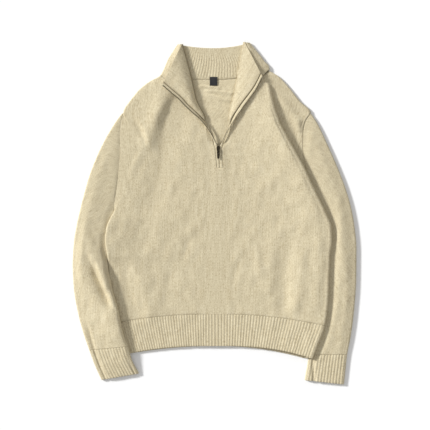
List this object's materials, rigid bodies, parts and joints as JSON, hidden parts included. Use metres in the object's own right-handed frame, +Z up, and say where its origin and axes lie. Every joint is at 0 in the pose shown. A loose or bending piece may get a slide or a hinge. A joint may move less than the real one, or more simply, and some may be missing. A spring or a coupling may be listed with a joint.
{
  "type": "quarter zip sweater",
  "caption": "Wool knit pullover laid flat, zip open and collar turned out, with ribbed collar, cuffs and hem, set-in sleeves and a short front zip with a pull tab.",
  "frame": {"origin": "middle of the garment's outline, on the surface it lies on", "axes": "+Z up from the surface, +Y towards the collar, +X to the right as the front is seen from above"},
  "size_m": [0.6796, 0.8203, 0.024],
  "materials": {
    "knit": "heathered oatmeal wool, plain knit",
    "rib": "heathered oatmeal wool, ribbed knit",
    "zip_metal": "dark antique brass",
    "label": "black woven ribbon"
  },
  "bodies": {
    "garment": {"back_panel": "knit", "front_panel": "knit", "collar": "rib", "sleeve_left": "knit", "sleeve_right": "knit", "cuff_left": "rib", "cuff_right": "rib", "hem_front": "rib", "hem_back": "rib", "zip_band_left": "rib", "zip_band_right": "rib", "zip_teeth_left": "zip_metal", "zip_teeth_right": "zip_metal", "zip_slider": "zip_metal", "neck_label": "label"},
    "pull": {"zip_pull": "zip_metal"}
  },
  "joints": [
    {"name": "pull_hinge", "type": "hinge", "parent": "garment", "child": "pull", "pos_m": [0.009, 0.1495, 0.01265], "axis": [-1, 0, 0], "range_deg": [0, 155]}
  ]
}
